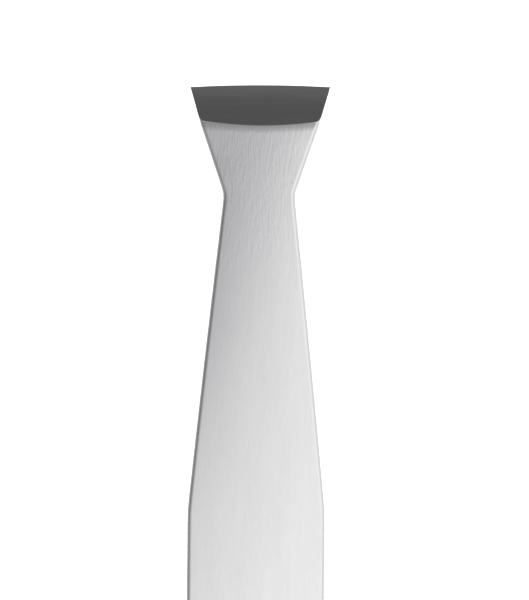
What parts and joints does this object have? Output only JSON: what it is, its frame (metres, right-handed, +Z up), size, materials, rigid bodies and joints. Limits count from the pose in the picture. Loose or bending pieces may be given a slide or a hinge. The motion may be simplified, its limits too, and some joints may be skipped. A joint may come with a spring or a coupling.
{
  "type": "tweezers",
  "caption": "Wide-tip beauty tweezers: flared, straight-ended jaws with a ground outer facet, waisted steel spring arms and a welded tail. Squeezing the grips closes the tips.",
  "frame": {"origin": "on the surface the tweezers lie on, below the middle of the whole object's box", "axes": "+Z up, +Y along the tweezers from the welded tail towards the tips, +X across the arms. The tweezers lie on the lower arm's belly and the edge of the tail, so the plane between the arms rises towards the tips by 3.47 degrees."},
  "size_m": [0.0098, 0.095, 0.0119],
  "materials": {
    "brushed_steel": "satin, brushed along the arms",
    "weld_steel": "as fused, unpolished"
  },
  "bodies": {
    "tail": {"upper_tail_leaf": "brushed_steel", "lower_tail_leaf": "brushed_steel", "spot_weld_1": "weld_steel", "spot_weld_2": "weld_steel"},
    "upper_arm": {"upper_arm": "brushed_steel"},
    "lower_arm": {"lower_arm": "brushed_steel"}
  },
  "joints": [
    {"name": "upper_arm_flex", "type": "hinge", "parent": "tail", "child": "upper_arm", "pos_m": [0, -0.03332, 0.00259], "axis": [-1, 0, 0], "range_deg": [0, 1.77], "stiffness_Nm_per_rad": 5.8},
    {"name": "lower_arm_flex", "type": "hinge", "parent": "tail", "child": "lower_arm", "pos_m": [0, -0.03326, 0.00164], "axis": [1, 0, 0], "range_deg": [0, 1.77], "stiffness_Nm_per_rad": 5.8}
  ]
}
